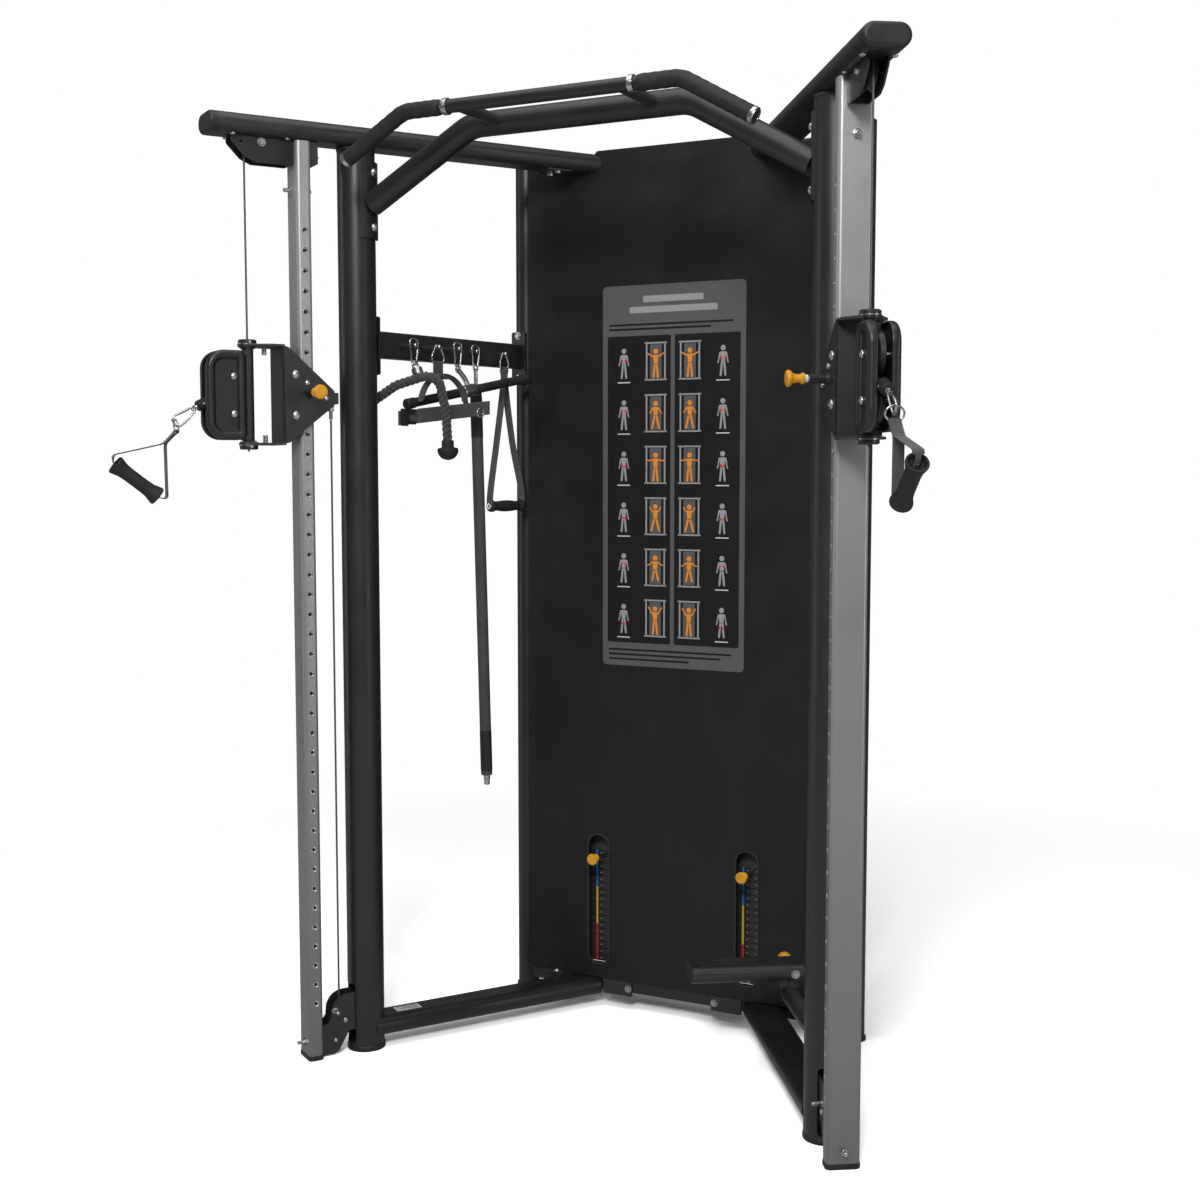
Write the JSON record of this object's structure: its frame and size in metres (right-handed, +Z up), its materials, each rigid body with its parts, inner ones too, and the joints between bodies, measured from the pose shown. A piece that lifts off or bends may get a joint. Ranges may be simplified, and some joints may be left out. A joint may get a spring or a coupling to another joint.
{
  "type": "cable crossover machine",
  "caption": "Gym cable machine with a shrouded weight tower, two splayed wings with sliding swivel pulleys, a pull-up bar, a foot rest and an accessory rack.",
  "frame": {"origin": "on the floor, below the middle of the front face of the tower's shroud", "axes": "+X to the machine's right as a user facing it sees it, +Y towards its back, +Z up"},
  "size_m": [1.9694, 1.2445, 2.4],
  "materials": {
    "black_powder_coat": "semi-gloss black powder coat",
    "silver_powder_coat": "metallic grey powder coat",
    "zinc_steel": "bright zinc plate",
    "yellow_plastic": "moulded amber yellow",
    "black_rubber": "matt moulded rubber",
    "grey_webbing": "woven nylon webbing",
    "black_cast_iron": "satin black enamel",
    "black_nylon": "moulded nylon",
    "coated_cable": "nylon-coated wire rope"
  },
  "bodies": {
    "frame": {"tower_frame": "black_powder_coat", "front_shroud": "black_powder_coat", "rear_shroud": "black_powder_coat", "base_crossbar": "black_powder_coat", "guide_rod_frame": "zinc_steel", "pull_up_bar": "black_powder_coat", "accessory_rack": "black_powder_coat", "footrest_arm": "black_powder_coat", "wing_beam_left": "black_powder_coat", "base_tube_left": "black_powder_coat", "front_post_left": "black_powder_coat", "adjustment_column_left": "silver_powder_coat", "top_pulley_bracket_left": "black_powder_coat", "lower_pulley_bracket_left": "black_powder_coat", "weight_plates_left": "black_cast_iron", "upper_cable_left": "coated_cable", "lower_cable_left": "coated_cable", "wing_beam_right": "black_powder_coat", "base_tube_right": "black_powder_coat", "front_post_right": "black_powder_coat", "adjustment_column_right": "silver_powder_coat", "top_pulley_bracket_right": "black_powder_coat", "lower_pulley_bracket_right": "black_powder_coat", "weight_plates_right": "black_cast_iron", "upper_cable_right": "coated_cable", "lower_cable_right": "coated_cable"},
    "carriage_left": {"carriage_left": "black_powder_coat"},
    "carriage_pin_left": {"carriage_pin_left": "yellow_plastic"},
    "swivel_left": {"swivel_housing_left": "black_powder_coat"},
    "cable_stop_left": {"cable_stop_left": "black_rubber", "snap_hook_left": "zinc_steel"},
    "handle_left": {"handle_strap_left": "grey_webbing"},
    "grip_left": {"handle_grip_left": "black_rubber"},
    "top_pulley_left": {"top_pulley_left": "black_nylon"},
    "lower_pulley_left": {"lower_pulley_left": "black_nylon"},
    "upper_swivel_pulley_left": {"upper_swivel_pulley_left": "black_nylon"},
    "lower_swivel_pulley_left": {"lower_swivel_pulley_left": "black_nylon"},
    "head_plate_left": {"head_plate_left": "black_cast_iron"},
    "selector_pin_left": {"selector_pin_left": "yellow_plastic"},
    "carriage_right": {"carriage_right": "black_powder_coat"},
    "carriage_pin_right": {"carriage_pin_right": "yellow_plastic"},
    "swivel_right": {"swivel_housing_right": "black_powder_coat"},
    "cable_stop_right": {"cable_stop_right": "black_rubber", "snap_hook_right": "zinc_steel"},
    "handle_right": {"handle_strap_right": "grey_webbing"},
    "grip_right": {"handle_grip_right": "black_rubber"},
    "top_pulley_right": {"top_pulley_right": "black_nylon"},
    "lower_pulley_right": {"lower_pulley_right": "black_nylon"},
    "upper_swivel_pulley_right": {"upper_swivel_pulley_right": "black_nylon"},
    "lower_swivel_pulley_right": {"lower_swivel_pulley_right": "black_nylon"},
    "head_plate_right": {"head_plate_right": "black_cast_iron"},
    "selector_pin_right": {"selector_pin_right": "yellow_plastic"},
    "footrest_step": {"footrest_step": "black_powder_coat"},
    "footrest_knob": {"footrest_knob": "yellow_plastic"},
    "triceps_rope": {"triceps_rope": "grey_webbing"},
    "ankle_cuff": {"ankle_cuff": "grey_webbing"},
    "short_bar": {"short_bar": "black_powder_coat"},
    "long_bar": {"long_bar": "black_rubber"},
    "strap_handle": {"strap_handle": "grey_webbing"}
  },
  "joints": [
    {"name": "carriage_height_left", "type": "slide", "parent": "frame", "child": "carriage_left", "axis": [0, 0, 1], "range_m": [-1.4, 0.35], "deforming": ["upper_cable_left", "lower_cable_left"]},
    {"name": "carriage_pin_pull_left", "type": "slide", "parent": "carriage_left", "child": "carriage_pin_left", "axis": [0.8387, -0.5446, 0], "range_m": [0, 0.018], "stiffness_N_per_m": 300},
    {"name": "swivel_left", "type": "hinge", "parent": "carriage_left", "child": "swivel_left", "pos_m": [-0.78696, -0.78835, 1.692], "axis": [0, 0, 1], "range_deg": [-95, 95]},
    {"name": "cable_pull_left", "type": "slide", "parent": "swivel_left", "child": "cable_stop_left", "axis": [-0.5446, -0.8387, 0], "range_m": [0, 1.4]},
    {"name": "handle_swing_left", "type": "hinge", "parent": "cable_stop_left", "child": "handle_left", "pos_m": [-0.88391, -0.93763, 1.624], "axis": [-0.8387, 0.5446, 0], "range_deg": [-25, 60]},
    {"name": "grip_roll_left", "type": "hinge", "parent": "handle_left", "child": "grip_left", "pos_m": [-0.93701, -1.0194, 1.48575], "axis": [-0.431, -0.6636, 0.6114], "continuous": true},
    {"name": "top_pulley_spin_left", "type": "hinge", "parent": "frame", "child": "top_pulley_left", "pos_m": [-0.76626, -0.75648, 2.303], "axis": [-0.8387, 0.5446, 0], "continuous": true},
    {"name": "lower_pulley_spin_left", "type": "hinge", "parent": "frame", "child": "lower_pulley_left", "pos_m": [-0.65298, -0.58204, 0.098], "axis": [-0.8387, 0.5446, 0], "continuous": true},
    {"name": "upper_swivel_pulley_spin_left", "type": "hinge", "parent": "swivel_left", "child": "upper_swivel_pulley_left", "pos_m": [-0.81038, -0.82441, 1.7375], "axis": [-0.8387, 0.5446, 0], "continuous": true},
    {"name": "lower_swivel_pulley_spin_left", "type": "hinge", "parent": "swivel_left", "child": "lower_swivel_pulley_left", "pos_m": [-0.81038, -0.82441, 1.6465], "axis": [-0.8387, 0.5446, 0], "continuous": true},
    {"name": "stack_lift_left", "type": "slide", "parent": "frame", "child": "head_plate_left", "axis": [0, 0, 1], "range_m": [0, 0.7]},
    {"name": "selector_pin_pull_left", "type": "slide", "parent": "frame", "child": "selector_pin_left", "axis": [0, -1, 0], "range_m": [0, 0.06]},
    {"name": "carriage_height_right", "type": "slide", "parent": "frame", "child": "carriage_right", "axis": [0, 0, 1], "range_m": [-1.4, 0.35], "deforming": ["upper_cable_right", "lower_cable_right"]},
    {"name": "carriage_pin_pull_right", "type": "slide", "parent": "carriage_right", "child": "carriage_pin_right", "axis": [-0.8387, -0.5446, 0], "range_m": [0, 0.018], "stiffness_N_per_m": 300},
    {"name": "swivel_right", "type": "hinge", "parent": "carriage_right", "child": "swivel_right", "pos_m": [0.78696, -0.78835, 1.692], "axis": [0, 0, 1], "range_deg": [-95, 95]},
    {"name": "cable_pull_right", "type": "slide", "parent": "swivel_right", "child": "cable_stop_right", "axis": [0.5446, -0.8387, 0], "range_m": [0, 1.4]},
    {"name": "handle_swing_right", "type": "hinge", "parent": "cable_stop_right", "child": "handle_right", "pos_m": [0.88391, -0.93763, 1.624], "axis": [-0.8387, -0.5446, 0], "range_deg": [-25, 60]},
    {"name": "grip_roll_right", "type": "hinge", "parent": "handle_right", "child": "grip_right", "pos_m": [0.93701, -1.0194, 1.48575], "axis": [0.431, -0.6636, 0.6114], "continuous": true},
    {"name": "top_pulley_spin_right", "type": "hinge", "parent": "frame", "child": "top_pulley_right", "pos_m": [0.76626, -0.75648, 2.303], "axis": [-0.8387, -0.5446, 0], "continuous": true},
    {"name": "lower_pulley_spin_right", "type": "hinge", "parent": "frame", "child": "lower_pulley_right", "pos_m": [0.65298, -0.58204, 0.098], "axis": [-0.8387, -0.5446, 0], "continuous": true},
    {"name": "upper_swivel_pulley_spin_right", "type": "hinge", "parent": "swivel_right", "child": "upper_swivel_pulley_right", "pos_m": [0.81038, -0.82441, 1.7375], "axis": [-0.8387, -0.5446, 0], "continuous": true},
    {"name": "lower_swivel_pulley_spin_right", "type": "hinge", "parent": "swivel_right", "child": "lower_swivel_pulley_right", "pos_m": [0.81038, -0.82441, 1.6465], "axis": [-0.8387, -0.5446, 0], "continuous": true},
    {"name": "stack_lift_right", "type": "slide", "parent": "frame", "child": "head_plate_right", "axis": [0, 0, 1], "range_m": [0, 0.7]},
    {"name": "selector_pin_pull_right", "type": "slide", "parent": "frame", "child": "selector_pin_right", "axis": [0, -1, 0], "range_m": [0, 0.06]},
    {"name": "footrest_fold", "type": "hinge", "parent": "frame", "child": "footrest_step", "pos_m": [0.43107, -0.22655, 0.272], "axis": [-0.5446, 0.8387, 0], "range_deg": [0, 75]},
    {"name": "footrest_knob_turn", "type": "hinge", "parent": "frame", "child": "footrest_knob", "pos_m": [0.43107, -0.22655, 0.272], "axis": [-0.5446, 0.8387, 0], "continuous": true},
    {"name": "triceps_rope_swing", "type": "hinge", "parent": "frame", "child": "triceps_rope", "pos_m": [-0.53628, -0.43287, 1.832], "axis": [0.978, -0.2085, 0], "range_deg": [-4.5, 0]},
    {"name": "ankle_cuff_swing", "type": "hinge", "parent": "frame", "child": "ankle_cuff", "pos_m": [-0.5166, -0.35016, 1.832], "axis": [0.978, -0.2085, 0], "range_deg": [0, 6]},
    {"name": "short_bar_swing", "type": "hinge", "parent": "frame", "child": "short_bar", "pos_m": [-0.49963, -0.28016, 1.832], "axis": [0.978, -0.2085, 0], "range_deg": [-2, 2]},
    {"name": "long_bar_swing", "type": "hinge", "parent": "frame", "child": "long_bar", "pos_m": [-0.50966, -0.17373, 1.832], "axis": [0.978, -0.2085, 0], "range_deg": [-1, 1.2]},
    {"name": "strap_handle_swing", "type": "hinge", "parent": "frame", "child": "strap_handle", "pos_m": [-0.48568, -0.06126, 1.832], "axis": [0.978, -0.2085, 0], "range_deg": [-1.2, 1]}
  ],
  "couplings": [
    {"joint": "cable_pull_left", "follows": "stack_lift_left", "ratio": 2},
    {"joint": "upper_swivel_pulley_spin_left", "follows": "stack_lift_left", "rad_per_m": 47.059},
    {"joint": "top_pulley_spin_left", "follows": "stack_lift_left", "rad_per_m": -52.632},
    {"joint": "lower_pulley_spin_left", "follows": "carriage_height_left", "rad_per_m": 30.769},
    {"joint": "cable_pull_right", "follows": "stack_lift_right", "ratio": 2},
    {"joint": "upper_swivel_pulley_spin_right", "follows": "stack_lift_right", "rad_per_m": 47.059},
    {"joint": "top_pulley_spin_right", "follows": "stack_lift_right", "rad_per_m": -52.632},
    {"joint": "lower_pulley_spin_right", "follows": "carriage_height_right", "rad_per_m": 30.769}
  ]
}
